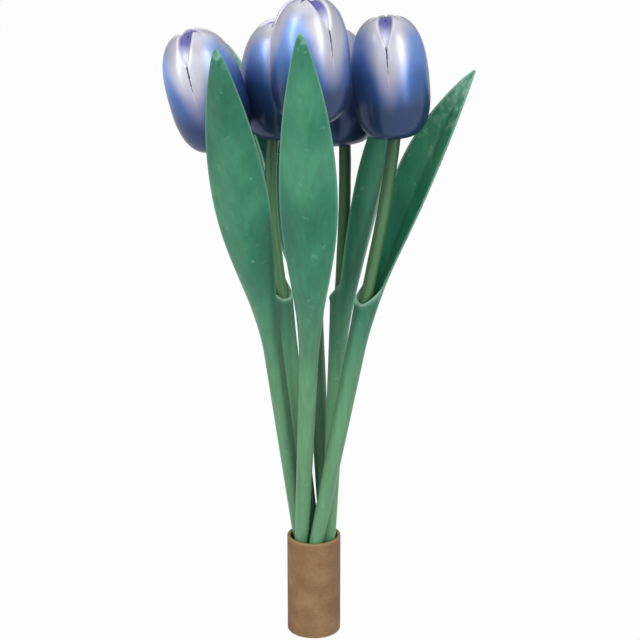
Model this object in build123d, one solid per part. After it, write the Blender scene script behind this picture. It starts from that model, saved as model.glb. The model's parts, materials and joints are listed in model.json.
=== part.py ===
from build123d import *
import math
import os

# A bouquet of six wooden tulips that stand in a short cardboard tube.
# Lengths are in millimetres and angles in degrees.
# Z is up, X points right and Y points back, as seen from the front.
# The origin is the middle of the tube's lower end.

# Cardboard tube
tube_height = 55.0
tube_wall = 1.8

# Room between neighbouring sheaths, and from a sheath to the tube
sheath_gap = 0.7
tube_gap = 0.4
foot_clearance = 1.0

# Sheath, which tapers down to its foot inside the tube
sheath_foot_diameter = 5.0
sheath_rim_diameter = 7.6
sheath_mouth_diameter = 10.4

# Leaf blade, which grows out of one side of the sheath
leaf_width = 28.5
leaf_mouth_width = 13.5
leaf_tip_width = 1.2
leaf_tip_depth = 0.5
leaf_cup = 6.6
leaf_mouth_cup = 5.3
leaf_widest = 70.0
leaf_thickness = 3.2
leaf_rim = 1.6
leaf_flare = 25.0
leaf_bend_length = 15.0
mouth_slope = 16.0

# Shape of the blade: how it swells to its widest, tapers to its tip and leaves the sheath,
# how far its inner face is crowned, and the places of its sections
# as shares of the mouth's slope and of the blade's length
leaf_swell = 1.25
leaf_taper = 0.8
flare_growth = 1.5
face_crown = 0.04
mouth_stations = [0.5, 1.0]
blade_stations = [0.25, 0.37, 0.5, 0.62, 0.74, 0.85, 0.94, 1.0]

# V groove on the inner side of the blade, from the socket almost to the tip
groove_start = 1.0
groove_end = 8.0
groove_inset = 0.6
groove_least = 0.6
groove_overrun = 0.6
groove_stations = 6
cutter_overrun = 3.0
cutter_draft = 0.3

# Thin stem, glued into the sheath and into the head
stem_diameter = 6.4
stem_socket_depth = 18.0
stem_straight = 30.0
stem_head_depth = 16.0
glue_gap = 0.1

# Turned head with three cuts that leave three petals.
# Each cut is a wide notch from the top, and a thin slit runs on below it.
# Depths are below the top of the head, at its axis and at its shoulder.
head_diameter = 38.0
head_height = 59.5
head_belly_height = 23.0
head_foot_diameter = 13.0
head_shoulder_diameter = 30.6
head_shoulder_height = 50.0
petal_count = 3
notch_axis_depth = 6.0
notch_shoulder_depth = 14.0
notch_width = 8.0
slit_axis_depth = 10.0
slit_shoulder_depth = 24.4
slit_width = 1.6

# One row for each tulip
# foot_turn and rim_turn say where the sheath leans on the tube wall, at its foot and at the rim.
# neck and head are the slopes of the stem's end and of the head, to the right and to the back.
# sheath is the length of the sheath, and stem that of the rod between its mouth and the head.
# leaf_turn, leaf_lean and leaf_length set the blade, and leaf_sway is how far its tip sways sideways.
# petal_turn is the direction of the first petal cut.
tulips = {
    "tulip_1": dict(foot_turn=97, rim_turn=159, neck=(-27, -7), head=(-15, -5), sheath=187.0, stem=89.0,
                    leaf_turn=-105, leaf_lean=17.0, leaf_length=158.0, leaf_sway=12.0, petal_turn=-104),
    "tulip_2": dict(foot_turn=57, rim_turn=98, neck=(7, -13), head=(5, -13), sheath=185.0, stem=88.5,
                    leaf_turn=135, leaf_lean=12.5, leaf_length=140.0, leaf_sway=0.0, petal_turn=-72),
    "tulip_3": dict(foot_turn=152, rim_turn=219, neck=(-2, -5), head=(-2, -4), sheath=187.0, stem=103.0,
                    leaf_turn=-100, leaf_lean=11.0, leaf_length=162.0, leaf_sway=-3.0, petal_turn=-54),
    "tulip_4": dict(foot_turn=209, rim_turn=280.5, neck=(6, -4), head=(-5, 1), sheath=192.0, stem=87.0,
                    leaf_turn=33.5, leaf_lean=9.0, leaf_length=127.5, leaf_sway=-14.5, petal_turn=-94),
    "tulip_5": dict(foot_turn=304, rim_turn=342, neck=(-1, 6), head=(-8, 6), sheath=184.0, stem=80.0,
                    leaf_turn=-35, leaf_lean=12.5, leaf_length=140.0, leaf_sway=0.0, petal_turn=-85),
    "tulip_6": dict(foot_turn=347, rim_turn=40, neck=(-9, 31), head=(-10, 32), sheath=187.0, stem=73.0,
                    leaf_turn=135, leaf_lean=20.0, leaf_length=138.0, leaf_sway=0.0, petal_turn=-90),
}

# Sizes that follow from the values above
rim_radius = sheath_rim_diameter / 2
foot_radius = sheath_foot_diameter / 2
mouth_radius = sheath_mouth_diameter / 2
rim_ring = (sheath_rim_diameter + sheath_gap) / (2 * math.sin(math.pi / len(tulips)))
bore_radius = rim_ring + rim_radius + tube_gap
tube_radius = bore_radius + tube_wall
foot_ring = bore_radius - foot_radius - tube_gap
stem_radius = stem_diameter / 2
socket_radius = stem_radius + glue_gap
head_radius = head_diameter / 2


def slope_direction(slopes):
    right, back = slopes
    return Vector(math.tan(math.radians(right)), math.tan(math.radians(back)), 1).normalized()


def ring_point(radius, turn, height):
    angle = math.radians(turn)
    return Vector(radius * math.cos(angle), radius * math.sin(angle), height)


def make_tube():
    body = Cylinder(tube_radius, tube_height, align=(Align.CENTER, Align.CENTER, Align.MIN))
    return body - Cylinder(bore_radius, tube_height, align=(Align.CENTER, Align.CENTER, Align.MIN))


def sheath_radius(height, sheath):
    if height < tube_height:
        return foot_radius + (rim_radius - foot_radius) * height / tube_height
    share = (height - tube_height) / (sheath - tube_height)
    return rim_radius + (mouth_radius - rim_radius) * share


def make_sheath(sheath):
    top = sheath - leaf_flare
    outline = Polyline(
        (0, 0),
        (foot_radius, 0),
        (rim_radius, tube_height),
        (sheath_radius(top, sheath), top),
        (0, top),
        close=True,
    )
    return revolve(Plane.XZ * make_face(outline), Axis.Z)


def blade_width(along, length):
    if along < leaf_widest:
        rise = math.sin(math.pi / 2 * max(along, 0) / leaf_widest) ** leaf_swell
        return leaf_mouth_width + (leaf_width - leaf_mouth_width) * rise
    fall = math.cos(math.pi / 2 * min((along - leaf_widest) / (length - leaf_widest), 1)) ** leaf_taper
    return leaf_tip_width + (leaf_width - leaf_tip_width) * fall


def blade_reach(row):
    return row["leaf_length"] * math.cos(math.radians(row["leaf_lean"]))


def blade_section(height, row):
    """Ridge, edge level, half width, back and sideways shift of the blade at a height on the axis."""
    sheath = row["sheath"]
    lean = math.radians(row["leaf_lean"])
    above = height - sheath
    rise = max(above + leaf_flare, 0)
    swing = math.sqrt(rise ** 2 + leaf_bend_length ** 2) - leaf_bend_length
    flare_radius = sheath_radius(sheath - leaf_flare, sheath)
    ridge = flare_radius + math.tan(lean) * swing
    along = above / math.cos(lean)
    if above <= 0:
        share = rise / leaf_flare
        half = flare_radius + (leaf_mouth_width / 2 - flare_radius) * share ** flare_growth
        cup = flare_radius + (leaf_mouth_cup - flare_radius) * share
        back = -sheath_radius(height, sheath)
    else:
        half = blade_width(along, row["leaf_length"]) / 2
        cup = leaf_mouth_cup + (leaf_cup - leaf_mouth_cup) * min(along / leaf_widest, 1)
        if along > leaf_widest:
            narrowing = (2 * half - leaf_tip_width) / (leaf_width - leaf_tip_width)
            cup = leaf_tip_depth + (leaf_cup - leaf_tip_depth) * narrowing
        share = min(above / mouth_slope, 1)
        share = share * share * (3 - 2 * share)
        back = -mouth_radius * (1 - share) + (ridge - cup - face_crown * half) * share
    aside = row["leaf_sway"] * (max(above, 0) / blade_reach(row)) ** 2
    return ridge, ridge - cup, half, back, aside


def blade_heights(row, shares):
    return [row["sheath"] + blade_reach(row) * share for share in shares]


def make_blade(row):
    sheath = row["sheath"]
    heights = [sheath - leaf_flare, sheath - leaf_flare / 2, sheath]
    heights += [sheath + mouth_slope * share for share in mouth_stations]
    heights += blade_heights(row, blade_stations)
    sections = []
    for height in heights:
        ridge, level, half, back, aside = blade_section(height, row)
        outside = ThreePointArc((level, -half), (ridge, 0), (level, half))
        inside = ThreePointArc((level, half), (back, 0), (level, -half))
        sections.append(Pos(0, aside, height) * make_face([outside, inside]))
    return loft(sections)


def make_groove(row):
    """Cutter for the V groove on the inner side of the blade."""
    sheath = row["sheath"]
    heights = [sheath + groove_start]
    heights += [sheath + mouth_slope * share for share in mouth_stations]
    heights += blade_heights(row, blade_stations[:groove_stations])
    heights += [sheath + blade_reach(row) - groove_end]
    sections = []
    for height in heights:
        ridge, level, half, back, aside = blade_section(height, row)
        grown = min((height - heights[0]) / mouth_slope, 1)
        bottom = (socket_radius - groove_inset) * (1 - grown) + (ridge - leaf_thickness) * grown
        bottom = max(bottom, level + groove_least)
        side = (socket_radius - groove_inset) * (1 - grown) + max(half - leaf_rim, groove_least) * grown
        shoulder = level - groove_overrun * grown
        side *= (bottom - shoulder) / (bottom - level)
        top = min(back, shoulder) - cutter_overrun
        outline = Polyline(
            (bottom, 0),
            (shoulder, side),
            (top, side + cutter_draft),
            (top, -side - cutter_draft),
            (shoulder, -side),
            close=True,
        )
        sections.append(Pos(0, aside, height) * make_face(outline))
    return loft(sections)


def make_leaf(row):
    """Sheath and blade as one carved piece, with its axis on Z and its blade towards X."""
    body = make_sheath(row["sheath"]) + make_blade(row)
    bore = Cylinder(
        socket_radius, stem_socket_depth + stem_straight, align=(Align.CENTER, Align.CENTER, Align.MIN)
    )
    body -= Pos(0, 0, row["sheath"] - stem_socket_depth) * bore
    return body - make_groove(row)


def petal_wedge(turn, axis_depth, shoulder_depth, width):
    """Cutter with a V section, whose edge falls from the head's axis out past its shoulder."""
    drop = shoulder_depth - axis_depth
    fall = math.atan2(drop, head_shoulder_diameter / 2)
    level = math.cos(fall)
    outward = Vector(math.cos(turn) * level, math.sin(turn) * level, -math.sin(fall))
    across = Vector(-math.sin(turn), math.cos(turn), 0)
    edge_start = Vector(0, 0, head_height - axis_depth) - outward
    plane = Plane(origin=edge_start, x_dir=across, z_dir=outward)
    side = width / 2 / drop * head_height
    section = Polyline((0, 0), (side, head_height), (-side, head_height), close=True)
    return extrude(plane * make_face(section), head_height)


def make_head():
    foot = head_foot_diameter / 2
    base = Line((0, 0), (foot, 0))
    bowl = EllipticalCenterArc(
        (foot, head_belly_height), head_radius - foot, head_belly_height, start_angle=-90, arc_size=90
    )
    crown = Spline(
        (head_radius, head_belly_height),
        (head_shoulder_diameter / 2, head_shoulder_height),
        (0, head_height),
        tangents=[(0, 1), (-1, 0)],
    )
    axis = Line((0, head_height), (0, 0))
    body = revolve(Plane.XZ * make_face([base, bowl, crown, axis]), Axis.Z)
    for number in range(petal_count):
        turn = math.radians(360 / petal_count * number)
        body -= petal_wedge(turn, notch_axis_depth, notch_shoulder_depth, notch_width)
        body -= petal_wedge(turn, slit_axis_depth, slit_shoulder_depth, slit_width)
    return body


def make_stem(socket, mouth, rise, neck_start, neck_end, neck):
    start = mouth - rise * socket
    path = Wire([
        Line(start, neck_start).edge(),
        TangentArc(neck_start, neck_end, tangent=rise).edge(),
        Line(neck_end, neck_end + neck * (stem_head_depth - glue_gap)).edge(),
    ])
    section = Plane(origin=start, z_dir=rise) * Circle(stem_radius)
    return sweep(section, path)


os.makedirs("parts", exist_ok=True)
export_step(make_tube(), "parts/cardboard_tube.step")

head_shape = make_head()
for name, row in tulips.items():
    foot = ring_point(foot_ring, row["foot_turn"], foot_clearance)
    rim = ring_point(rim_ring, row["rim_turn"], tube_height)
    rise = (rim - foot).normalized()

    # Leaf with its sheath, on the line from the foot to the rim
    facing = ring_point(1, row["leaf_turn"], 0)
    facing = (facing - rise * facing.dot(rise)).normalized()
    leaf = make_leaf(row)
    leaf = Plane(origin=foot, x_dir=facing, z_dir=rise).location * leaf
    export_step(leaf, f"parts/{name}_leaf.step")

    # Stem: straight out of the sheath, then one bend up to the neck
    mouth = foot + rise * row["sheath"]
    neck = slope_direction(row["neck"])
    neck_start = mouth + rise * stem_straight
    half_bend = math.radians(rise.get_angle(neck)) / 2
    chord = (row["stem"] - stem_straight) * math.sin(half_bend) / half_bend
    neck_end = neck_start + (rise + neck).normalized() * chord
    stem = make_stem(stem_socket_depth - glue_gap, mouth, rise, neck_start, neck_end, neck)
    export_step(stem, f"parts/{name}_stem.step")

    # Head, with its bore in line with the end of the stem
    head_axis = slope_direction(row["head"])
    facing = ring_point(1, row["petal_turn"], 0)
    facing = (facing - head_axis * facing.dot(head_axis)).normalized()
    head = Plane(origin=neck_end, x_dir=facing, z_dir=head_axis).location * head_shape
    bore = Cylinder(socket_radius, 2 * stem_head_depth)
    head -= Plane(origin=neck_end, z_dir=neck).location * bore
    export_step(head, f"parts/{name}_head.step")
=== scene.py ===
import json
import math

import bpy
import numpy as np
from bpy.props import FloatProperty, FloatVectorProperty, IntProperty, PointerProperty
from mathutils import Matrix, Vector

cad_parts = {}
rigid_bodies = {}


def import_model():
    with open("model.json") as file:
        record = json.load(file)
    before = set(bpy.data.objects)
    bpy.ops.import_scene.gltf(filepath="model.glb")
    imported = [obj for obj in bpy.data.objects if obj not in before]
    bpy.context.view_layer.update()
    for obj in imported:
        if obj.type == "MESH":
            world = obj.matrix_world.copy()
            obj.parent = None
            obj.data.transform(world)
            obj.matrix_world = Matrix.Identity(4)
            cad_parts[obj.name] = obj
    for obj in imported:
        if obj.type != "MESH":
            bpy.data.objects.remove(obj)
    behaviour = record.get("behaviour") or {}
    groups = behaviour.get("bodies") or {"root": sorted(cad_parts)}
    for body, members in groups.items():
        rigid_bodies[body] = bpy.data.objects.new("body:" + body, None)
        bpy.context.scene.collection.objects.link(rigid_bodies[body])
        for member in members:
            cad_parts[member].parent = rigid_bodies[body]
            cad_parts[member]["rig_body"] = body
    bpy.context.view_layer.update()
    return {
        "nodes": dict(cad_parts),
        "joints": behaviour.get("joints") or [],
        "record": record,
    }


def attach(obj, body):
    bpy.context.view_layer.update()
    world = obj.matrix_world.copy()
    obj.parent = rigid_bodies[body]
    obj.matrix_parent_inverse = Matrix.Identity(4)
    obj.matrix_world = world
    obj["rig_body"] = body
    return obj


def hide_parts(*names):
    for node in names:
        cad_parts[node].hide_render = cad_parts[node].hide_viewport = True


# A bouquet of painted wooden tulips that stand in a short cardboard tube.
# Lengths are in metres and angles in degrees. Z is up, X points right and Y points back.

bl_info = {
    "name": "Wooden Tulips",
    "version": (1, 0, 0),
    "blender": (4, 5, 0),
    "location": "3D View > Sidebar > Tulips",
    "description": "Models and paints a bouquet of wooden tulips in a cardboard tube",
    "category": "Object",
}

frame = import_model()

MM = 0.001

tube_mount = next(m for m in frame["record"]["mounts"] if m["name"] == "tube_outside")
lift_axes = {joint["child"]: Vector(joint["axis"]) for joint in frame["joints"]}

# One row for each tulip, with lengths in millimetres.
# foot_turn says where the sheath's foot stands on the tube wall.
# neck and head are the slopes of the stem's end and of the head, to the right and to the back.
# sheath is the length of the sheath, and stem that of the rod between its mouth and the head.
# leaf_turn, leaf_lean and leaf_length set the blade.
# leaf_sway is how far the blade's tip sways sideways.
# petal_turn is the direction of the first petal cut.
TULIPS = {
    "tulip_1": dict(
        foot_turn=97, neck=(-27, -7), head=(-15, -5), sheath=187, stem=89, petal_turn=-104,
        leaf_turn=-105, leaf_lean=17.0, leaf_length=158, leaf_sway=12,
    ),
    "tulip_2": dict(
        foot_turn=57, neck=(7, -13), head=(5, -13), sheath=185, stem=88.5, petal_turn=-72,
        leaf_turn=135, leaf_lean=12.5, leaf_length=140, leaf_sway=0,
    ),
    "tulip_3": dict(
        foot_turn=152, neck=(-2, -5), head=(-2, -4), sheath=187, stem=103, petal_turn=-54,
        leaf_turn=-100, leaf_lean=11.0, leaf_length=162, leaf_sway=-3,
    ),
    "tulip_4": dict(
        foot_turn=209, neck=(6, -4), head=(-5, 1), sheath=192, stem=87, petal_turn=-94,
        leaf_turn=33.5, leaf_lean=9.0, leaf_length=127.5, leaf_sway=-14.5,
    ),
    "tulip_5": dict(
        foot_turn=304, neck=(-1, 6), head=(-8, 6), sheath=184, stem=80, petal_turn=-85,
        leaf_turn=-35, leaf_lean=12.5, leaf_length=140, leaf_sway=0,
    ),
    "tulip_6": dict(
        foot_turn=347, neck=(-9, 31), head=(-10, 32), sheath=187, stem=73, petal_turn=-90,
        leaf_turn=135, leaf_lean=20.0, leaf_length=138, leaf_sway=0,
    ),
}


# Settings

def hex_colour(text):
    """Linear RGBA of an sRGB hex value such as #3c8062."""
    channels = [int(text[i:i + 2], 16) / 255 for i in (1, 3, 5)]
    linear = [c / 12.92 if c <= 0.04045 else ((c + 0.055) / 1.055) ** 2.4 for c in channels]
    return (*linear, 1.0)


def length(name, description, millimetres):
    """Length that is given in millimetres and kept in metres."""
    return FloatProperty(
        name=name, description=description, default=millimetres * MM, unit="LENGTH",
    )


def share(name, description, default):
    """Share of something else."""
    return FloatProperty(name=name, description=description, default=default, subtype="FACTOR")


def colour(name, description, text):
    """Colour that is given as an sRGB hex value."""
    return FloatVectorProperty(
        name=name, description=description, default=hex_colour(text),
        size=4, subtype="COLOR", min=0, max=1,
    )


def number(name, description, default):
    """Plain number, such as a power or an angle in degrees."""
    return FloatProperty(name=name, description=description, default=default)


def count(name, description, default):
    """Whole number."""
    return IntProperty(name=name, description=description, default=default)


class TubeSizes(bpy.types.PropertyGroup):
    """Sizes of the cardboard tube."""
    radius: length("Radius", "Outside of the tube", tube_mount["dims"]["r_mm"])
    height: length("Height", "From the lower end to the rim", tube_mount["dims"]["length_mm"])
    wall: length("Wall", "Thickness of the wound card", 1.8)
    edge_round: length("Edge round", "Softened edge of the cut ends", 0.45)
    edge_fray: length("Edge fray", "Unevenness of the cut ends", 0.12)


class LeafSizes(bpy.types.PropertyGroup):
    """Sizes of a leaf and its sheath."""
    foot_ring: length("Foot ring", "From the tube's axis to the foot of a sheath", 9.6)
    foot_rise: length("Foot rise", "Foot of a sheath above the tube's lower end", 1.0)
    rim_height: length("Rim height", "Where the sheath's taper changes", 55)
    foot_diameter: length("Foot diameter", "Sheath at its foot", 5.0)
    rim_diameter: length("Rim diameter", "Sheath at the tube's rim", 7.6)
    mouth_diameter: length("Mouth diameter", "Sheath at its mouth", 10.4)
    width: length("Width", "Blade at its widest", 28.5)
    mouth_width: length("Mouth width", "Blade at the mouth", 13.5)
    tip_width: length("Tip width", "Blade at its tip", 1.2)
    tip_depth: length("Tip depth", "Thickness of the tip", 0.5)
    cup: length("Cup", "Depth of the blade's curve", 6.6)
    mouth_cup: length("Mouth cup", "Depth of the blade's curve at the mouth", 5.3)
    widest: length("Widest", "From the mouth to the widest place", 70)
    thickness: length("Thickness", "Wood under the groove", 2.3)
    rim: length("Rim", "Flat rim beside the groove", 1.5)
    flare: length("Flare", "Length over which the blade leaves the sheath", 25)
    bend: length("Bend", "How softly the blade leaves the sheath", 15)
    mouth_slope: length("Mouth slope", "Height over which the front wall falls back", 16)
    lip_height: length("Lip height", "Height of the round lip at the mouth", 13)
    lip_edge: length("Lip edge", "Steep edge inside the lip", 0.3)
    lip_round: length("Lip round", "Rounding of the lip", 0.5)
    lip_bead: length("Lip bead", "How far the lip stands out", 0.9)
    lip_shape: number("Lip shape", "Roundness of the lip, 2 is an ellipse", 3.4)
    wear: length("Wear", "Width of the thin paint along an edge", 1.3)
    socket_depth: length("Socket depth", "Depth of the hole for the stem", 18)
    crown: share("Crown", "Rise of the rim's face, by half width", 0.04)
    keel: share("Keel", "How far the outer face is carved to a soft keel", 0.95)
    keel_power: number("Keel power", "Sharpness of the keel, 1 is a sharp V", 1.18)
    swell: number("Swell", "How the blade grows to its widest", 1.25)
    taper: number("Taper", "How the blade narrows to its tip", 0.8)
    hollow: number("Hollow", "Roundness of the groove's walls", 1.12)
    flare_growth: number("Flare growth", "How the sheath widens to its mouth", 1.5)
    rows: count("Rows", "Sections along the blade", 52)


class StemSizes(bpy.types.PropertyGroup):
    """Sizes of a bent stem."""
    diameter: length("Diameter", "Thickness of the rod", 6.4)
    straight: length("Straight", "Straight length above the mouth", 30)
    head_depth: length("Head depth", "Length of rod inside the head", 15.9)
    clearance: length("Clearance", "Glue gap round the rod", 0.1)


class HeadSizes(bpy.types.PropertyGroup):
    """Sizes of a turned head. Depths of the petal cuts are below its top."""
    diameter: length("Diameter", "Head at its belly", 38)
    height: length("Height", "From the foot to the top", 59.5)
    belly_height: length("Belly height", "Height of the widest place", 23)
    foot_diameter: length("Foot diameter", "Flat foot round the stem", 13)
    crown_rise: length("Crown rise", "How far the sides rise before they turn in", 17.2)
    crown_reach: length("Crown reach", "How wide the top is rounded", 17.7)
    shoulder_diameter: length("Shoulder diameter", "Head where cut depths are measured", 30.6)
    notch_axis_depth: length("Notch axis depth", "Where the notches meet on the axis", 6)
    notch_shoulder_depth: length("Notch shoulder depth", "Notch's lower edge at the shoulder", 14)
    notch_width: length("Notch width", "Notch at its widest", 8)
    slit_axis_depth: length("Slit axis depth", "Where the slits meet on the axis", 10)
    slit_shoulder_depth: length("Slit shoulder depth", "Slit's lower edge at the shoulder", 24.4)
    slit_width: length("Slit width", "Slit at its widest", 1.6)
    notch_floor: share("Notch floor", "Depth of a notch's floor, by the head's reach", 0.065)
    slit_floor: share("Slit floor", "Depth of a slit's floor, by the head's reach", 0.075)
    notch_round: share("Notch round", "Softness of the petals' edges", 0.03)
    slit_round: share("Slit round", "Softness of the edges of a slit", 0.012)
    tongue_round: share("Tongue round", "Roundness of the pearl's lower end", 0.2)
    valley: share("Valley", "Depth of the shallow valley along a cut", 0.024)
    valley_angle: number("Valley angle", "Half width of the valley", 13)
    foot_shape: number("Foot shape", "Fullness of the lower half, 2 is round", 2.3)
    petals: count("Petals", "Petals on a head", 3)


class PaintColours(bpy.types.PropertyGroup):
    """Colours of the paints and of the card."""
    midnight: colour("Midnight", "Foot of a head", "#2a426a")
    navy: colour("Navy", "Below the belly of a head", "#2f4068")
    royal: colour("Royal", "Belly of a head", "#4870b2")
    cornflower: colour("Cornflower", "Upper petals of a head", "#86a9f0")
    pearl: colour("Pearl", "Top of a head and along its cuts", "#cac9d6")
    mauve: colour("Mauve", "Lower end of the pearl", "#8f8aa6")
    violet: colour("Violet", "Upper inside of a notch", "#6a64ae")
    # The lilac low inside a notch is partly its lilac paint and partly painted light in the shaded
    # hollow.
    lilac_and_painted_light: colour("Lilac", "Lower inside of a notch", "#e2e2f4")
    # The slit's light colour is painted light against the deep shade inside the slit.
    slit: colour("Slit", "Inside of a thin slit", "#8a86b0")
    # The pale edge colour is a painted highlight, where the petals' cut edges catch the light.
    lip: colour("Lip", "Worn edge of a petal", "#e6e3e6")
    glint: colour("Glint", "Tint of the pearl's reflections", "#8b93b8")
    leaf: colour("Leaf", "Leaf paint", "#2d7b5f")
    leaf_deep: colour("Deep leaf", "Dark strokes of the leaf paint", "#226a52")
    leaf_light: colour("Light leaf", "Light strokes of the leaf paint", "#46906c")
    # Paler low on the sheath: partly the paint and partly painted light, as the heads shade the
    # leaves higher up.
    sheath: colour("Sheath", "Paler paint low on the sheath", "#689a72")
    worn: colour("Worn rim", "Thin paint on edges", "#a4d5b9")
    stem: colour("Stem", "Stem paint", "#4d7c50")
    # The deep stem colour is painted shade, where the stem lies under its head.
    stem_under_head_shade: colour("Deep stem", "Stem paint near the head", "#31583a")
    kraft: colour("Kraft", "Brown card", "#8f6d4c")
    kraft_dark: colour("Dark kraft", "Darker fibre", "#856343")
    kraft_pale: colour("Pale kraft", "Paler fibre and cut edge", "#a1845f")


class StageSettings(bpy.types.PropertyGroup):
    """Camera and studio."""
    target: FloatVectorProperty(
        name="Target", description="Point that the camera looks at",
        default=(3.3 * MM, 0, 175 * MM), unit="LENGTH",
    )
    distance: length("Distance", "From the camera to its target", 900)
    pitch: number("Pitch", "How far the camera looks down", 16.9)
    lens: number("Lens", "Focal length in millimetres", 97.93)
    sensor: number("Sensor", "Sensor width in millimetres", 36)
    floor_size: length("Floor", "Side of the floor", 60000)
    paper: colour("Paper", "Floor as other light sees it", "#c9c9c9")
    white: share("White", "How far the seen floor is plain white", 0.98)
    ambient: share("Ambient", "Strength of the light from all around", 0.32)


# Places and meshes

def slope_direction(slopes):
    """Direction that rises with these slopes, to the right and to the back."""
    right, back = slopes
    return Vector((math.tan(math.radians(right)), math.tan(math.radians(back)), 1)).normalized()


def ring_point(radius, turn, height):
    """Point on a level ring round the tube's axis."""
    angle = math.radians(turn)
    return Vector((radius * math.cos(angle), radius * math.sin(angle), height))


def smooth_step(low, high, values):
    """Soft rise from 0 at low to 1 at high."""
    t = np.clip((values - low) / (high - low), 0, 1)
    return t * t * (3 - 2 * t)


def placement(origin, facing, axis):
    """Matrix that turns Z to axis and X as far as possible to facing, then moves to origin."""
    z = axis.normalized()
    x = (facing - z * facing.dot(z)).normalized()
    turn = Matrix((x, z.cross(x), z)).transposed()
    return Matrix.Translation(origin) @ turn.to_4x4()


def tulip_line(row, name, leaf, stem):
    """Foot, mouth, rise, end of the straight rod, neck point and neck direction of a tulip."""
    rise = lift_axes[name].normalized()
    foot = ring_point(leaf.foot_ring, row["foot_turn"], leaf.foot_rise)
    mouth = foot + rise * row["sheath"] * MM
    neck = slope_direction(row["neck"])
    bend_start = mouth + rise * stem.straight
    half_bend = rise.angle(neck) / 2
    chord = (row["stem"] * MM - stem.straight) * math.sin(half_bend) / half_bend
    bend_end = bend_start + (rise + neck).normalized() * chord
    return foot, mouth, rise, bend_start, bend_end, neck


MERGE_DISTANCE = 0.001 * MM


def select_only(piece):
    """Selects one piece and makes it active."""
    bpy.ops.object.select_all(action="DESELECT")
    piece.select_set(True)
    bpy.context.view_layer.objects.active = piece


def wrap_grid(name, rings, marks):
    """Wraps a new grid round the rings, closes its seam and ends, and keeps marks as attributes."""
    rings = np.asarray(rings, float)
    rows, around = rings.shape[:2]
    bpy.ops.object.select_all(action="DESELECT")
    bpy.ops.mesh.primitive_grid_add(x_subdivisions=around, y_subdivisions=rows - 1, size=1)
    piece = bpy.context.object
    piece.name = name
    mesh = piece.data
    flat = np.empty(len(mesh.vertices) * 3)
    mesh.vertices.foreach_get("co", flat)
    flat = flat.reshape(-1, 3)
    column = np.rint((flat[:, 0] + 0.5) * around).astype(int) % around
    row = np.rint((flat[:, 1] + 0.5) * (rows - 1)).astype(int)
    mesh.vertices.foreach_set("co", rings[row, column].ravel())
    for key, values in marks.items():
        attribute = mesh.attributes.new(key, "FLOAT", "POINT")
        attribute.data.foreach_set("value", np.asarray(values, np.float32)[row, column])
    bpy.ops.object.mode_set(mode="EDIT")
    bpy.ops.mesh.select_all(action="SELECT")
    bpy.ops.mesh.remove_doubles(threshold=MERGE_DISTANCE)
    bpy.ops.mesh.fill_holes(sides=0)
    bpy.ops.mesh.select_all(action="SELECT")
    bpy.ops.mesh.normals_make_consistent(inside=False)
    bpy.ops.object.mode_set(mode="OBJECT")
    return piece


def apply_modifier(piece, kind, **settings):
    """Adds a modifier with its settings and applies it."""
    modifier = piece.modifiers.new(kind.title(), kind)
    for key, value in settings.items():
        setattr(modifier, key, value)
    select_only(piece)
    bpy.ops.object.modifier_apply(modifier=modifier.name)


BIT_SIDES = 48
BIT_FACING = Vector((1, 0.2, 0.1))


def drill(piece, start, direction, radius, depth):
    """Bores a round hole from start along direction."""
    bpy.ops.object.select_all(action="DESELECT")
    bpy.ops.mesh.primitive_cylinder_add(vertices=BIT_SIDES, radius=radius, depth=depth)
    bit = bpy.context.object
    bit.data.transform(Matrix.Translation((0, 0, depth / 2)))
    bit.data.transform(placement(start, BIT_FACING, direction))
    apply_modifier(piece, "BOOLEAN", operation="DIFFERENCE", object=bit, solver="EXACT")
    bpy.data.objects.remove(bit)


# Edges sharper than this stay sharp. The softened edges of a leaf allow more.
SMOOTH_ANGLE = 38
LEAF_SMOOTH_ANGLE = 66


def dress(piece, node, material, smooth_angle=SMOOTH_ANGLE):
    """Gives a finished piece its paint, and puts it in the place of its node."""
    piece.data.materials.clear()
    piece.data.materials.append(material)
    select_only(piece)
    bpy.ops.object.shade_smooth_by_angle(angle=math.radians(smooth_angle))
    body = frame["nodes"][node]["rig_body"]
    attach(piece, body)
    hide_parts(node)


def add_node(tree, kind, inputs=None, stops=None, **settings):
    """Adds a node with its settings, its values or links, and the stops of a colour ramp."""
    node = tree.nodes.new(kind)
    for key, value in settings.items():
        setattr(node, key, value)
    for socket, source in (inputs or {}).items():
        if isinstance(source, bpy.types.NodeSocket):
            tree.links.new(source, node.inputs[socket])
        else:
            node.inputs[socket].default_value = source
    for index, (place, value) in enumerate(stops or ()):
        ramp = node.color_ramp.elements
        stop = ramp[index] if index < len(ramp) else ramp.new(place)
        stop.position = place
        stop.color = value
    return node


def new_material(name):
    """An empty material and its node tree."""
    material = bpy.data.materials.new(name)
    material.use_nodes = True
    material.node_tree.nodes.clear()
    return material, material.node_tree


def finish_material(tree, shader):
    """Ends a material with its output."""
    add_node(tree, "ShaderNodeOutputMaterial", {"Surface": shader.outputs[0]})


# Materials

def object_place(tree):
    """Place on the piece, in metres."""
    return add_node(tree, "ShaderNodeTexCoord").outputs["Object"]


def mark(tree, name):
    """Value of a mark that the piece keeps as an attribute."""
    return add_node(tree, "ShaderNodeAttribute", attribute_name=name).outputs["Fac"]


def stretched(tree, place, scale):
    """Place for a noise that is longer where the scale is smaller."""
    return add_node(tree, "ShaderNodeMapping", {"Vector": place, "Scale": scale}).outputs[0]


def noise(tree, place, width, detail):
    """Noise in patches of about this width."""
    inputs = {"Vector": place, "Scale": 1 / width, "Detail": detail}
    return add_node(tree, "ShaderNodeTexNoise", inputs).outputs["Fac"]


def calculate(tree, operation, *values):
    """Result of a sum on values or links."""
    return add_node(tree, "ShaderNodeMath", dict(enumerate(values)), operation=operation).outputs[0]


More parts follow.
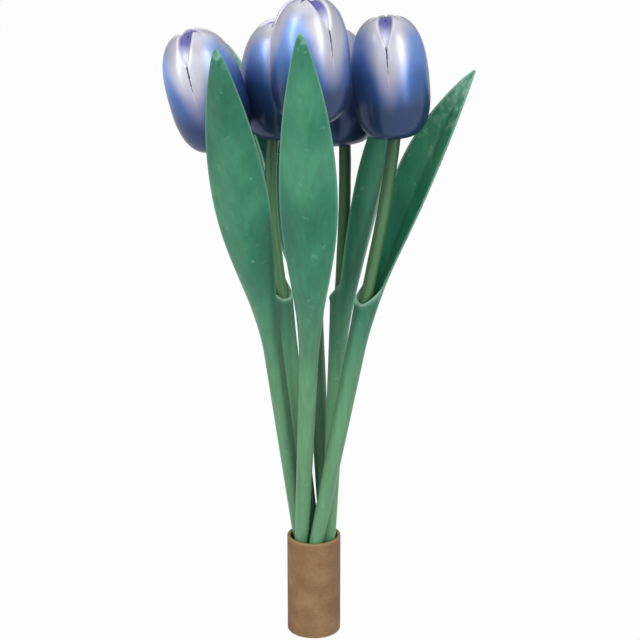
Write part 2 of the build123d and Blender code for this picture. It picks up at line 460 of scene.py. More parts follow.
def remap(tree, value, before, after, kind="LINEAR"):
    """Value moved from one range to another, and held at its ends."""
    inputs = {
        "Value": value, "From Min": before[0], "From Max": before[1],
        "To Min": after[0], "To Max": after[1],
    }
    return add_node(tree, "ShaderNodeMapRange", inputs, interpolation_type=kind).outputs[0]


def colour_ramp(tree, value, *stops):
    """Colour between stops, which are places with their colours."""
    return add_node(tree, "ShaderNodeValToRGB", {"Fac": value}, stops=stops).outputs["Color"]


def mix(tree, factor, first, second, blend="MIX"):
    """Mix of two colours."""
    inputs = {"Factor": factor, "A": first, "B": second}
    node = add_node(tree, "ShaderNodeMix", inputs, data_type="RGBA", blend_type=blend)
    return node.outputs["Result"]


def fine_relief(tree, height, strength, distance):
    """Normal with the fine relief of brush strokes, fibres or flakes."""
    inputs = {"Height": height, "Strength": strength, "Distance": distance}
    return add_node(tree, "ShaderNodeBump", inputs).outputs[0]


def finish_paint(tree, inputs):
    """Ends a paint with its shader."""
    finish_material(tree, add_node(tree, "ShaderNodeBsdfPrincipled", inputs))


def pearl_lacquer(paint):
    """Sprayed pearl lacquer on turned wood: an airbrushed fade, fine flakes and a satin gloss, with
    painted highlights along the cut edges and painted light inside the cuts.
    """
    material, tree = new_material("pearl_lacquer_on_turned_wood")
    place = object_place(tree)
    height = mark(tree, "head_height")
    notch = mark(tree, "notch_inside")

    # Airbrushed clouds, about 16 mm wide
    cloud = noise(tree, place, 16 * MM, 2)
    level = calculate(tree, "MULTIPLY_ADD", cloud, 0.1, height)
    level = calculate(tree, "ADD", level, -0.05)
    blues = colour_ramp(
        tree, level,
        (0.04, paint.midnight), (0.26, paint.navy), (0.52, paint.royal), (0.78, paint.cornflower),
    )
    pearls = colour_ramp(tree, level, (0.3, paint.mauve), (0.69, paint.pearl))
    # The pearl starts low along a cut and only near the top in the middle of a petal
    fade_start = calculate(tree, "MULTIPLY_ADD", mark(tree, "petal_place"), 0.84, 0.39)
    over = calculate(tree, "SUBTRACT", level, fade_start)
    fade = remap(tree, over, (-0.18, 0.18), (0, 1), "SMOOTHSTEP")
    top = remap(tree, level, (0.8, 0.95), (0, 1), "SMOOTHSTEP")
    body = mix(tree, calculate(tree, "MAXIMUM", fade, top), blues, pearls)
    # Painted highlight along the edges of the cuts.
    edge_highlighted = mix(tree, mark(tree, "cut_lip"), body, paint.lip)
    # Violet high and lilac low inside a notch; the pale lilac is partly painted light in the shaded
    # hollow.
    inside = colour_ramp(tree, height, (0.87, paint.lilac_and_painted_light), (0.97, paint.violet))
    notched = mix(tree, notch, edge_highlighted, inside)
    # The light slit colour is painted light against the shade deep in the slit.
    slitted = mix(tree, mark(tree, "slit_inside"), notched, paint.slit)

    # Pearl flakes, drawn at 0.5 mm so that they show
    flake = noise(tree, place, 0.5 * MM, 2)
    sparkle = remap(tree, flake, (0, 1), (0.92, 1.08))
    finish_paint(tree, {
        "Base Color": mix(tree, 1, slitted, sparkle, "MULTIPLY"),
        "Roughness": remap(tree, cloud, (0, 1), (0.36, 0.42)),
        "Metallic": remap(tree, notch, (0, 1), (0.4, 0.05)),
        "Normal": fine_relief(tree, flake, 0.05, 0.1 * MM),
        "IOR": 1.5, "Specular Tint": paint.glint, "Coat Weight": 0.45, "Coat Roughness": 0.2,
    })
    return material


def leaf_enamel(paint):
    """Brushed satin enamel on carved wood: long faint strokes, thin paint on edges and tip, and
    painted light that pales the groove and the lower sheath.
    """
    material, tree = new_material("satin_enamel_on_carved_wood")
    place = object_place(tree)
    along = mark(tree, "leaf_along")
    inside = mark(tree, "leaf_inside")

    # Brush strokes, 2.5 mm wide and some 60 mm long
    stroke = noise(tree, stretched(tree, place, (1, 1, 0.04)), 2.5 * MM, 4)
    # Clouds in the paint, about 26 mm wide
    cloud = noise(tree, stretched(tree, place, (1, 1, 0.4)), 26 * MM, 2)
    greens = colour_ramp(
        tree, cloud, (0.34, paint.leaf_deep), (0.5, paint.leaf), (0.68, paint.leaf_light),
    )
    # Paler towards the foot: partly the paint and partly painted light, where the heads shade the
    # leaves above.
    low = remap(tree, along, (0.68, 0.34), (0, 0.9), "SMOOTHSTEP")
    body = mix(tree, low, greens, paint.sheath)
    tone = remap(tree, stroke, (0.3, 0.7), (0.88, 1.12))
    # The groove is a little lighter: painted light on the inner side, which the heads and other
    # leaves shade
    tone = calculate(tree, "MULTIPLY", tone, remap(tree, inside, (0, 1), (1, 1.3)))
    stroked = mix(tree, 1, body, tone, "MULTIPLY")

    # Thin paint on the rims, and scuffs 4 mm wide near the tip
    scuff = noise(tree, place, 4 * MM, 4)
    start = remap(tree, inside, (0, 1), (0.965, 0.82))
    tip = remap(tree, along, (start, 1), (-0.25, 0.16))
    scuffed = remap(tree, calculate(tree, "ADD", scuff, tip), (0.4, 0.8), (0, 1))
    thin = calculate(tree, "MAXIMUM", mark(tree, "leaf_rim"), scuffed)
    thin = calculate(tree, "MULTIPLY", thin, 0.85)
    finish_paint(tree, {
        "Base Color": mix(tree, thin, stroked, paint.worn),
        "Roughness": remap(tree, cloud, (0, 1), (0.34, 0.46)),
        "Normal": fine_relief(tree, stroke, 0.1, 0.15 * MM),
        "IOR": 1.5, "Specular IOR Level": 0.35,
    })
    return material


def stem_enamel(paint):
    """Brushed enamel on a bent rod: olive green, with painted shade that darkens it near the head,
    and the rod's grain.
    """
    material, tree = new_material("olive_enamel_on_bent_rod")
    # Grain of the rod, 1.2 mm wide and some 24 mm long
    grain = noise(tree, stretched(tree, object_place(tree), (1, 1, 0.05)), 1.2 * MM, 3)
    tone = remap(tree, grain, (0, 1), (0.8, 1.2))
    # Painted shade: the stem darkens towards the head above it.
    shade = remap(tree, mark(tree, "stem_along"), (0.45, 0.95), (0, 1), "SMOOTHSTEP")
    body = mix(tree, shade, paint.stem, paint.stem_under_head_shade)
    finish_paint(tree, {
        "Base Color": mix(tree, 1, body, tone, "MULTIPLY"),
        "Normal": fine_relief(tree, grain, 0.15, 0.1 * MM),
        "Roughness": 0.4, "IOR": 1.5, "Coat Weight": 0.1, "Coat Roughness": 0.3,
    })
    return material


def kraft_card(paint):
    """Wound kraft card: dull brown paper with short fibres, faint blotches and paler cut ends."""
    material, tree = new_material("wound_kraft_card")
    place = object_place(tree)
    # Blotches in the paper, about 11 mm wide
    blotch = noise(tree, place, 11 * MM, 4)
    browns = colour_ramp(
        tree, blotch, (0.3, paint.kraft_dark), (0.5, paint.kraft), (0.8, paint.kraft_pale),
    )
    # Short level fibres, drawn 0.8 mm wide so that they show
    fibre = noise(tree, stretched(tree, place, (0.35, 0.35, 1)), 0.8 * MM, 5)
    tone = remap(tree, fibre, (0.3, 0.7), (0.9, 1.1))
    fibred = mix(tree, 1, browns, tone, "MULTIPLY")
    finish_paint(tree, {
        "Base Color": mix(tree, mark(tree, "cut_end"), fibred, paint.kraft_pale),
        "Normal": fine_relief(tree, fibre, 0.25, 0.15 * MM),
        "Roughness": 0.85, "IOR": 1.45,
    })
    return material


# Leaf and sheath

# Places of a section's points, as shares of the groove, of the rim and of the outer face.
GROOVE_PLACES = (0, 0.05, 0.16, 0.3, 0.45, 0.6, 0.75, 0.88, 0.96, 1)
RIM_PLACES = (0, 0.1, 0.26, 0.46, 0.64, 0.79, 0.9, 0.97, 1)
OUTER_PLACES = (0.97, 0.9, 0.8, 0.68, 0.55, 0.42, 0.28, 0.14, 0.06, 0)
# Sections along the sheath, its flare and its lip, and close below the mouth in widths of wear.
SHEATH_ROWS, FLARE_ROWS, LIP_ROWS = 16, 9, 14
MOUTH_STEPS = (4, 3, 2.2, 1.5, 1, 0.6, 0.3, 0)
# Limits near the tip: narrowest opening and furthest lip edge by half width, least groove by depth.
LEAST_OPENING, FURTHEST_EDGE, LEAST_GROOVE = 0.35, 0.97, 0.12
# The lip's bead: its reach in widths of wear, and where it is full by lip height and by half width.
BEAD_REACH, BEAD_FULL_HEIGHT, BEAD_FULL_WIDTH = 1.5, 0.4, 0.35
# Wear along the outer edge: its strength, and its reach in widths of wear.
EDGE_WEAR, EDGE_WEAR_REACH = 0.45, 0.3
LIP_SAMPLES = 60
FLAT_SAG = 1e-9


def sheath_radius(leaf, height, sheath):
    """Radius of the sheath at a height on its axis."""
    if height < leaf.rim_height:
        widening = (leaf.rim_diameter - leaf.foot_diameter) * height / leaf.rim_height
        return (leaf.foot_diameter + widening) / 2
    part = (height - leaf.rim_height) / (sheath - leaf.rim_height)
    return (leaf.rim_diameter + (leaf.mouth_diameter - leaf.rim_diameter) * part) / 2


def blade_half_width(leaf, along, blade):
    """Half width of the blade at a distance from the mouth."""
    if along < leaf.widest:
        rise = math.sin(math.pi / 2 * along / leaf.widest) ** leaf.swell
        return (leaf.mouth_width + (leaf.width - leaf.mouth_width) * rise) / 2
    part = min((along - leaf.widest) / (blade - leaf.widest), 1)
    fall = math.cos(math.pi / 2 * part) ** leaf.taper
    return (leaf.tip_width + (leaf.width - leaf.tip_width) * fall) / 2


def arc_place(side, half, level, top):
    """Place at a distance from the middle on the arc through both edges and the top."""
    sag = top - level
    if abs(sag) < FLAT_SAG:
        return level
    radius = (half * half + sag * sag) / (2 * abs(sag))
    drop = radius - math.sqrt(max(radius * radius - side * side, 0))
    return top - math.copysign(drop, sag)


def blade_frame(leaf, row, height):
    """Ridge, edge level, half width and back of the leaf at a height on its axis."""
    sheath, blade = row["sheath"] * MM, row["leaf_length"] * MM
    lean = math.radians(row["leaf_lean"])
    above = height - sheath
    rise = max(above + leaf.flare, 0)
    radius = sheath_radius(leaf, min(height, sheath - leaf.flare), sheath)
    ridge = radius + math.tan(lean) * (math.sqrt(rise ** 2 + leaf.bend ** 2) - leaf.bend)
    if above <= 0:
        part = rise / leaf.flare
        half = radius + (leaf.mouth_width / 2 - radius) * part ** leaf.flare_growth
        cup = radius + (leaf.mouth_cup - radius) * part
        return ridge, ridge - cup, half, -sheath_radius(leaf, height, sheath)
    along = above / math.cos(lean)
    half = blade_half_width(leaf, along, blade)
    cup = leaf.mouth_cup + (leaf.cup - leaf.mouth_cup) * min(along / leaf.widest, 1)
    if along > leaf.widest:
        narrowing = (2 * half - leaf.tip_width) / (leaf.width - leaf.tip_width)
        cup = leaf.tip_depth + (leaf.cup - leaf.tip_depth) * narrowing
    level = ridge - cup
    part = smooth_step(0, leaf.mouth_slope, above)
    back = -leaf.mouth_diameter / 2 * (1 - part) + (level - leaf.crown * half) * part
    return ridge, level, half, back


def lip_opening(leaf, half, opened):
    """Half width of the opening at a share of the lip's height."""
    power = leaf.lip_shape
    return max(half - leaf.rim, LEAST_OPENING * half) * (1 - (1 - opened) ** power) ** (1 / power)


def lip_distance(leaf, half, y, above):
    """How far a place on the front of the mouth lies from the round edge of the lip."""
    shares = np.linspace(0, 1, LIP_SAMPLES)
    aside = lip_opening(leaf, half, shares) - y
    return float(np.min(np.hypot(aside, shares * leaf.lip_height - above)))


def leaf_section(leaf, row, height):
    """Outline of the leaf at a height, from the groove's bottom round, with wear and inner side."""
    ridge, level, half, back = blade_frame(leaf, row, height)
    above = height - row["sheath"] * MM

    # Groove wall on the inner side, which opens in a round lip at the mouth
    side = lip_opening(leaf, half, min(max(above / leaf.lip_height, 0), 1))
    bottom = max(ridge - leaf.thickness, level + LEAST_GROOVE * (ridge - level))
    inner, worn = [], []
    for fraction in GROOVE_PLACES:
        y = fraction * side
        groove = level + (bottom - level) * (1 - fraction ** leaf.hollow)
        inner.append((groove if above > 0 else arc_place(y, half, level, back), y))
        worn.append(0 if above > 0 else math.exp(-(above / leaf.wear) ** 2))
    inside = [1] * len(inner)

    # Steep edge of the lip, then its bead and the rim out to the edge of the blade
    edge = min(side + leaf.lip_edge, FURTHEST_EDGE * half)
    for fraction in RIM_PLACES:
        y = edge + (half - edge) * fraction
        from_lip = lip_distance(leaf, half, y, above) if above < leaf.lip_height else y - edge
        bead = leaf.lip_bead * math.exp(-(from_lip / (BEAD_REACH * leaf.wear)) ** 2)
        bead *= smooth_step(leaf.lip_height, BEAD_FULL_HEIGHT * leaf.lip_height, above)
        bead *= smooth_step(half, BEAD_FULL_WIDTH * half, y)
        near = max(1 - (y - edge) / (2 * leaf.lip_round), 0) if above > 0 else 0
        inner.append((arc_place(y, half, level, back) - bead + leaf.lip_round * near ** 2, y))
        worn.append(math.exp(-(from_lip / leaf.wear) ** 2))

    # Outer face, round on the sheath and with a soft keel on the blade
    keel = leaf.keel * smooth_step(-leaf.flare, leaf.widest, above)
    faded_in = smooth_step(0, leaf.lip_height, above)
    outer = []
    for fraction in OUTER_PLACES:
        y = half * fraction
        rounded = arc_place(y, half, level, ridge)
        keeled = ridge - (ridge - level) * fraction ** leaf.keel_power
        outer.append((rounded + (keeled - rounded) * keel, y))
        from_edge = (half - y) / (EDGE_WEAR_REACH * leaf.wear)
        worn.append(EDGE_WEAR * faded_in * math.exp(-from_edge ** 2))
    half_outline = inner + outer
    inside += [0] * (len(half_outline) - len(inside))
    outline = half_outline + [(x, -y) for x, y in reversed(half_outline[1:-1])]
    return outline, worn + worn[-2:0:-1], inside + inside[-2:0:-1]


def leaf_heights(leaf, row):
    """Heights of the sections, closest together at the mouth."""
    sheath = row["sheath"] * MM
    start = sheath - leaf.flare
    tip = sheath + row["leaf_length"] * MM * math.cos(math.radians(row["leaf_lean"]))
    low = list(np.linspace(0, start, SHEATH_ROWS))
    flare = list(np.linspace(start, sheath - MOUTH_STEPS[0] * leaf.wear, FLARE_ROWS))[1:]
    flare += [sheath - leaf.wear * step for step in MOUTH_STEPS[1:]]
    quarter = [math.pi / 2 * k / LIP_ROWS for k in range(1, LIP_ROWS + 1)]
    mouth = [sheath + leaf.lip_height * (1 - math.cos(angle)) for angle in quarter]
    upper = list(np.linspace(sheath + leaf.lip_height, tip, leaf.rows))[1:]
    return low + flare + mouth + upper


def model_leaf(name, row, leaf, stem):
    """Carves a leaf that stands on its foot, with its blade along X, and bores its socket."""
    sheath = row["sheath"] * MM
    reach = row["leaf_length"] * MM * math.cos(math.radians(row["leaf_lean"]))
    rings, rims, sides, places = [], [], [], []
    for height in leaf_heights(leaf, row):
        outline, worn, inside = leaf_section(leaf, row, height)
        aside = row["leaf_sway"] * MM * (max(height - sheath, 0) / reach) ** 2
        rings.append([(x, y + aside, height) for x, y in outline])
        rims.append(worn)
        sides.append(inside)
        places.append([height / (sheath + reach)] * len(outline))
    piece = wrap_grid(name, rings, {"leaf_rim": rims, "leaf_inside": sides, "leaf_along": places})
    apply_modifier(piece, "SUBSURF", levels=1, render_levels=1)
    socket = stem.diameter / 2 + stem.clearance
    drill_length = leaf.socket_depth + stem.straight
    start = Vector((0, 0, sheath - leaf.socket_depth))
    drill(piece, start, Vector((0, 0, 1)), socket, drill_length)
    return piece


class TULIP_OT_leaves(bpy.types.Operator):
    """Carves each leaf with its sheath and paints it green"""
    bl_idname = "tulip.leaves"
    bl_label = "Carved Leaves"

    def execute(self, context):
        leaf = context.scene.tulip_leaf
        stem = context.scene.tulip_stem
        material = leaf_enamel(context.scene.tulip_paint)
        for name, row in TULIPS.items():
            foot, _mouth, rise = tulip_line(row, name, leaf, stem)[:3]
            piece = model_leaf("carved_leaf_" + name[-1], row, leaf, stem)
            piece.data.transform(placement(foot, ring_point(1, row["leaf_turn"], 0), rise))
            dress(piece, name + "_leaf", material, LEAF_SMOOTH_ANGLE)
        return {"FINISHED"}


# Stem

# Sections along the straight rod, the bend and the end in the head, and points round the rod.
ROD_ROWS, BEND_ROWS, END_ROWS, ROD_SIDES = 14, 24, 4, 20
# A hand bent rod is uneven by this share of its radius, with this turn from section to section.
UNEVEN, UNEVEN_TURN = 0.012, 0.9


def stem_path(row, name, leaf, stem):
    """Points along the middle of a stem: straight rod, one bend, and straight into the head."""
    _foot, mouth, rise, bend_start, bend_end, neck = tulip_line(row, name, leaf, stem)
    low = mouth - rise * (leaf.socket_depth - stem.clearance)
    points = [low.lerp(bend_start, k / ROD_ROWS) for k in range(ROD_ROWS)]
    turn = rise.angle(neck)
    radius = (bend_end - bend_start).length / (2 * math.sin(turn / 2))
    inward = (neck - rise * neck.dot(rise)).normalized()
    for k in range(BEND_ROWS):
        angle = turn * k / BEND_ROWS
        up, across = math.sin(angle), 1 - math.cos(angle)
        points.append(bend_start + rise * radius * up + inward * radius * across)
    points += [bend_end + neck * stem.head_depth * k / END_ROWS for k in range(END_ROWS + 1)]
    return points


def model_stem(name, points, stem):
    """Wraps a rod round its middle line, a little uneven as a hand bent rod is."""
    side = Vector((0, 1, 0))
    rings, places = [], []
    for index, point in enumerate(points):
        ahead = points[min(index + 1, len(points) - 1)]
        behind = points[max(index - 1, 0)]
        axis = (ahead - behind).normalized()
        across = axis.cross(side).normalized()
        side = across.cross(axis).normalized()
        radius = stem.diameter / 2 * (1 - UNEVEN * (1 + math.sin(UNEVEN_TURN * index)))
        ring = []
        for k in range(ROD_SIDES):
            angle = 2 * math.pi * k / ROD_SIDES
            ring.append(point + (across * math.cos(angle) + side * math.sin(angle)) * radius)
        rings.append(ring)
        places.append([index / (len(points) - 1)] * ROD_SIDES)
    piece = wrap_grid(name, rings, {"stem_along": places})
    apply_modifier(piece, "SUBSURF", levels=1, render_levels=1)
    return piece


class TULIP_OT_stems(bpy.types.Operator):
    """Bends each stem and paints it olive green"""
    bl_idname = "tulip.stems"
    bl_label = "Bent Stems"

    def execute(self, context):
        leaf = context.scene.tulip_leaf
        stem = context.scene.tulip_stem
        material = stem_enamel(context.scene.tulip_paint)
        for name, row in TULIPS.items():
            piece = model_stem("bent_stem_" + name[-1], stem_path(row, name, leaf, stem), stem)
            dress(piece, name + "_stem", material)
        return {"FINISHED"}


# Head

# Places across the flat foot, rows to the belly and to the top, and steps across half a petal.
FOOT_PLACES = (0, 0.4, 0.7, 0.9)
BELLY_ROWS, CROWN_ROWS, PETAL_STEPS = 30, 75, 40
# How much closer together the steps are at a cut.
CUT_CLOSENESS = 1.6
# A reach beyond the surface for rays that meet no cut, which rise too little.
FAR_REACH, LEAST_SLOPE = 9.0, 1e-7
# Share of the height over which the valley along a cut deepens.
VALLEY_RISE = (0.3, 0.62)
# Depths, by the head's reach, over which a slit gives way to its notch and the inner paints set in.
SLIT_START, NOTCH_PAINT, SLIT_PAINT = (0, 0.03), (0.01, 0.055), (0, 0.02)
# Painted highlights along the edges of notches and slits, where the edges catch the light: distance
# from the cut and width by the reach, and strength.
NOTCH_EDGE_HIGHLIGHT, SLIT_EDGE_HIGHLIGHT = (0.02, 0.07, 0.8), (0.12, 0.16, 0.56)


def head_profile(head):
    """Radius and height of the turned outline, from the middle of the foot to the top."""
    radius = head.diameter / 2
    foot = head.foot_diameter / 2
    profile = [(foot * part, 0) for part in FOOT_PLACES]
    for k in range(BELLY_ROWS):
        angle = math.pi / 2 * k / BELLY_ROWS
        out = math.sin(angle) ** (2 / head.foot_shape)
        up = 1 - math.cos(angle) ** (2 / head.foot_shape)
        profile.append((foot + (radius - foot) * out, head.belly_height * up))
    ends = np.array([
        (radius, head.belly_height),
        (radius, head.belly_height + head.crown_rise),
        (head.crown_reach, head.height),
        (0, head.height),
    ])
    for k in range(CROWN_ROWS + 1):
        t = k / CROWN_ROWS
        weights = np.array([(1 - t) ** 3, 3 * t * (1 - t) ** 2, 3 * t * t * (1 - t), t ** 3])
        profile.append(tuple(weights @ ends))
    return np.array(profile)


def head_angles(head):
    """Angles round a head, closest together at the cuts, and how far each is from its cut."""
    half_petal = math.pi / head.petals
    steps = [half_petal * (k / PETAL_STEPS) ** CUT_CLOSENESS for k in range(PETAL_STEPS + 1)]
    leaving, nearing = steps[:-1], steps[:0:-1]
    angles, places = [], []
    for petal in range(head.petals):
        cut = 2 * half_petal * petal
        angles += [cut + step for step in leaving]
        angles += [cut + 2 * half_petal - step for step in nearing]
        places += [step / half_petal for step in leaving + nearing]
    return np.array(angles), np.array(places)


def cut_reach(head, points, focus, axis_depth, shoulder_depth, width):
    """How far from the focus each ray meets the nearest of three V cuts, with the surface at 1."""
    drop = shoulder_depth - axis_depth
    fall = math.atan2(drop, head.shoulder_diameter / 2)
    steepness = width / 2 / drop
    start = np.array((0, 0, head.height - axis_depth))
    rays = points - focus
    reach = np.full(points.shape[:-1], FAR_REACH)
    for petal in range(head.petals):
        turn = 2 * math.pi / head.petals * petal
        across = np.array((-math.sin(turn), math.cos(turn), 0))
        outward = math.sin(fall)
        lift = np.array((math.cos(turn) * outward, math.sin(turn) * outward, math.cos(fall)))
        depth = steepness * float(lift @ (start - focus))
        entries = []
        for sign in (1, -1):
            slope = rays @ (steepness * lift - sign * across)
            met = depth / np.maximum(slope, LEAST_SLOPE)
            entries.append(np.where(slope > LEAST_SLOPE, met, FAR_REACH))
        reach = np.minimum(reach, np.maximum(*entries))
    return reach


def soft_minimum(first, second, width):
    """The smaller of two values, with a rounded change from one to the other."""
    overlap = np.maximum(width - np.abs(first - second), 0) / width
    return np.minimum(first, second) - overlap ** 2 * width / 4


def cut_lip(depth, lip):
    """Painted highlight beside a cut, strongest at a distance from it."""
    distance, width, strength = lip
    return strength * np.exp(-((depth + distance) / width) ** 2)


def model_head(name, head):
    """Turns an upright head and cuts its petals, with marks for its paints and for the painted
    highlights along its cuts.
    """
    profile = head_profile(head)
    angles, petal_place = head_angles(head)
    radii, heights = profile[:, 0:1], profile[:, 1:2]
    heights = np.broadcast_to(heights, (len(profile), len(angles)))
    points = np.stack((radii * np.cos(angles), radii * np.sin(angles), heights), axis=-1)
    focus = np.array((0, 0, head.belly_height))
    share_up = points[..., 2] / head.height
    from_cut = np.broadcast_to(petal_place * 180 / head.petals, share_up.shape)
    valley = head.valley * np.exp(-(from_cut / head.valley_angle) ** 2)
    surface = 1 - valley * smooth_step(*VALLEY_RISE, share_up)
    notch = cut_reach(
        head, points, focus, head.notch_axis_depth, head.notch_shoulder_depth, head.notch_width,
    )
    slit = cut_reach(
        head, points, focus, head.slit_axis_depth, head.slit_shoulder_depth, head.slit_width,
    )
    slit += smooth_step(*SLIT_START, surface - notch)
    slit = np.maximum(slit, surface - head.slit_floor)
    notch = -soft_minimum(-notch, head.notch_floor - surface, head.notch_round)
    carved = soft_minimum(surface, notch, head.notch_round)
    carved = soft_minimum(carved, slit, head.slit_round)
    points = focus + (points - focus) * carved[..., None]
    notch_depth = surface - notch
    slit_depth = np.minimum(surface, notch) - slit
    rounded = np.sqrt(petal_place ** 2 + head.tongue_round ** 2) - head.tongue_round
    marks = {
        "head_height": share_up,
        "petal_place": np.broadcast_to(rounded, share_up.shape),
        "notch_inside": smooth_step(*NOTCH_PAINT, notch_depth),
        "slit_inside": smooth_step(*SLIT_PAINT, slit_depth),
        "cut_lip": np.maximum(cut_lip(notch_depth, NOTCH_EDGE_HIGHLIGHT), cut_lip(slit_depth, SLIT_EDGE_HIGHLIGHT)),
    }
    return wrap_grid(name, points, marks)


class TULIP_OT_heads(bpy.types.Operator):
    """Turns each head, cuts its petals and sprays it"""
    bl_idname = "tulip.heads"
    bl_label = "Turned Heads"

    def execute(self, context):
        scene = context.scene
        leaf, stem, head = scene.tulip_leaf, scene.tulip_stem, scene.tulip_head
        material = pearl_lacquer(scene.tulip_paint)
        for name, row in TULIPS.items():
            bend_end, neck = tulip_line(row, name, leaf, stem)[4:]
            piece = model_head("painted_head_" + name[-1], head)
            facing = ring_point(1, row["petal_turn"], 0)
            piece.data.transform(placement(bend_end, facing, slope_direction(row["head"])))
            drill_length = 2 * stem.head_depth
            drill_start = bend_end - neck * drill_length / 2
            drill(piece, drill_start, neck, stem.diameter / 2 + stem.clearance, drill_length)
            dress(piece, name + "_head", material)
        return {"FINISHED"}


# Tube

# Points round the tube, places up its wall, and steps round a softened edge.
TUBE_SIDES, EDGE_STEPS = 128, 4
WALL_PLACES = (0.5, 0.7, 0.88, 0.96)
# Waves of the uneven cut: how many go round, and where each starts.
FRAY_WAVES = ((3, 0), (7, 1), (16, 2))
# Shares of the height over which the cut pulls at the wall, and over which its paler paint fades.
FRAY_REACH = 0.12
CUT_PAINT = (0.012, 0.003)


class TULIP_OT_tube(bpy.types.Operator):
    """Winds the cardboard tube and softens its cut ends"""
    bl_idname = "tulip.tube"
    bl_label = "Cardboard Tube"

    def execute(self, context):
        tube = context.scene.tulip_tube
        inside, outside = tube.radius - tube.wall, tube.radius
        edge = tube.edge_round
        quarter = [math.pi / 2 * k / EDGE_STEPS for k in range(EDGE_STEPS + 1)]
        corner = [(1 - math.sin(angle), 1 - math.cos(angle)) for angle in quarter]
        # Half of the wall's outline, from the middle of the bore up to the middle of the outside
        profile = [(inside, part * tube.height) for part in WALL_PLACES]
        profile += [(inside + edge * across, tube.height - edge * down) for down, across in corner]
        corner.reverse()
        profile += [(outside - edge * across, tube.height - edge * down) for down, across in corner]
        profile += [(outside, part * tube.height) for part in reversed(WALL_PLACES)]
        lower = [(r, tube.height - z) for r, z in reversed(profile[1:-1])]
        outline = profile + lower
        rings, ends = [], []
        for k in range(TUBE_SIDES):
            turn = 2 * math.pi * k / TUBE_SIDES
            waves = sum(math.sin(times * turn + start) for times, start in FRAY_WAVES)
            fray = tube.edge_fray * waves / len(FRAY_WAVES)
            ring, marks = [], []
            for r, z in outline:
                near_end = min(z, tube.height - z) / tube.height
                pull = max(0, 1 - near_end / FRAY_REACH)
                z += (tube.edge_fray + fray) / 2 * pull * (-1 if z > tube.height / 2 else 1)
                ring.append((r * math.cos(turn), r * math.sin(turn), z))
                marks.append(smooth_step(*CUT_PAINT, near_end))
            rings.append(ring)
            ends.append(marks)
        rings.append(rings[0])
        ends.append(ends[0])
        piece = wrap_grid("kraft_tube", rings, {"cut_end": ends})
        dress(piece, "cardboard_tube", kraft_card(context.scene.tulip_paint))
        return {"FINISHED"}


# Stage

# Name, place, size and power in watts of each lamp. All of them point at the middle of the bouquet.
LAMPS = (
    ("left_softbox", (-1.05, -0.8, 0.75), (0.28, 1.3), 9),
    ("right_softbox", (0.78, -0.96, 0.75), (0.46, 1.3), 9.2),
    ("front_fill", (-0.2, -1.4, 0.9), (1.4, 0.8), 3.5),
    ("top_softbox", (0, 0.1, 1.5), (1.6, 1.6), 6),
)
LAMP_AIM = Vector((0, 0, 0.2))
WHITE = (1, 1, 1, 1)


def aimed(place, aim):
    """Matrix of a lamp or a camera that looks from a place at its aim."""
    return Matrix.Translation(place) @ (aim - place).to_track_quat("-Z", "Y").to_matrix().to_4x4()


def add_lamp(name, place, size, power):
    """Adds a plain white softbox."""
    data = bpy.data.lights.new(name, "AREA")
    data.shape = "RECTANGLE"
    data.size, data.size_y = size
    data.energy = power
    lamp = bpy.data.objects.new(name, data)
    bpy.context.scene.collection.objects.link(lamp)
    lamp.matrix_world = aimed(Vector(place), LAMP_AIM)


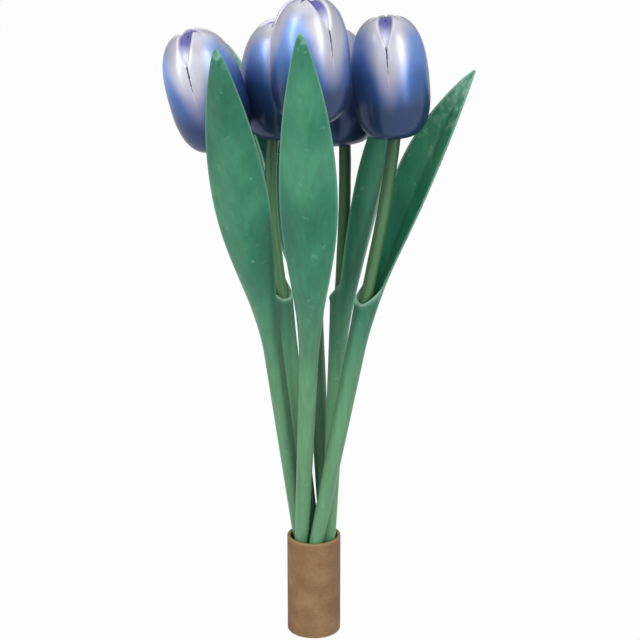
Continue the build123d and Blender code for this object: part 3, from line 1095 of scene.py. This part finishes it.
class TULIP_OT_stage(bpy.types.Operator):
    """Lays a white floor, and sets up soft studio light and the camera"""
    bl_idname = "tulip.stage"
    bl_label = "Studio Stage"

    def execute(self, context):
        stage = context.scene.tulip_stage
        bpy.ops.object.select_all(action="DESELECT")
        bpy.ops.mesh.primitive_plane_add(size=stage.floor_size)
        floor = context.object
        floor.name = "studio_floor"
        material, tree = new_material("white_paper_floor")
        path = add_node(tree, "ShaderNodeLightPath").outputs
        seen = calculate(tree, "MAXIMUM", path["Is Camera Ray"], path["Is Glossy Ray"])
        seen = calculate(tree, "MAXIMUM", seen, path["Is Transmission Ray"])
        glow = calculate(tree, "MULTIPLY", seen, stage.white)
        paper = add_node(tree, "ShaderNodeBsdfDiffuse", {"Color": stage.paper}).outputs[0]
        white = add_node(tree, "ShaderNodeEmission", {"Color": WHITE, "Strength": 1}).outputs[0]
        finish_material(tree, add_node(tree, "ShaderNodeMixShader", {0: glow, 1: paper, 2: white}))
        floor.data.materials.append(material)

        world = bpy.data.worlds.new("studio_world")
        world.use_nodes = True
        background = world.node_tree.nodes["Background"]
        background.inputs["Color"].default_value = WHITE
        background.inputs["Strength"].default_value = stage.ambient
        context.scene.world = world

        for name, place, size, power in LAMPS:
            add_lamp(name, place, size, power)

        pitch = math.radians(stage.pitch)
        target = Vector(stage.target)
        place = target + Vector((0, -math.cos(pitch), math.sin(pitch))) * stage.distance
        data = bpy.data.cameras.new("camera")
        data.sensor_width = stage.sensor
        data.lens = stage.lens
        camera = bpy.data.objects.new("camera", data)
        context.scene.collection.objects.link(camera)
        camera.matrix_world = aimed(place, target)
        context.scene.camera = camera
        context.scene.view_settings.view_transform = "Standard"
        return {"FINISHED"}


# Panel and registration

class TULIP_PT_panel(bpy.types.Panel):
    """Lists the steps that make the bouquet"""
    bl_idname = "TULIP_PT_panel"
    bl_label = "Wooden Tulips"
    bl_space_type = "VIEW_3D"
    bl_region_type = "UI"
    bl_category = "Tulips"

    def draw(self, context):
        for operator in OPERATORS:
            self.layout.operator(operator.bl_idname)


OPERATORS = (TULIP_OT_tube, TULIP_OT_leaves, TULIP_OT_stems, TULIP_OT_heads, TULIP_OT_stage)
SETTINGS = {
    "tulip_tube": TubeSizes,
    "tulip_leaf": LeafSizes,
    "tulip_stem": StemSizes,
    "tulip_head": HeadSizes,
    "tulip_paint": PaintColours,
    "tulip_stage": StageSettings,
}


def register():
    """Adds the settings, the steps and the panel to Blender."""
    for group in SETTINGS.values():
        bpy.utils.register_class(group)
    for name, group in SETTINGS.items():
        setattr(bpy.types.Scene, name, PointerProperty(type=group))
    for cls in (*OPERATORS, TULIP_PT_panel):
        bpy.utils.register_class(cls)


def unregister():
    """Takes them away again."""
    for cls in (TULIP_PT_panel, *reversed(OPERATORS)):
        bpy.utils.unregister_class(cls)
    for name, group in SETTINGS.items():
        delattr(bpy.types.Scene, name)
        bpy.utils.unregister_class(group)


def main():
    """Runs each step."""
    register()
    bpy.ops.tulip.tube()
    bpy.ops.tulip.leaves()
    bpy.ops.tulip.stems()
    bpy.ops.tulip.heads()
    bpy.ops.tulip.stage()


if __name__ == "__main__":
    main()
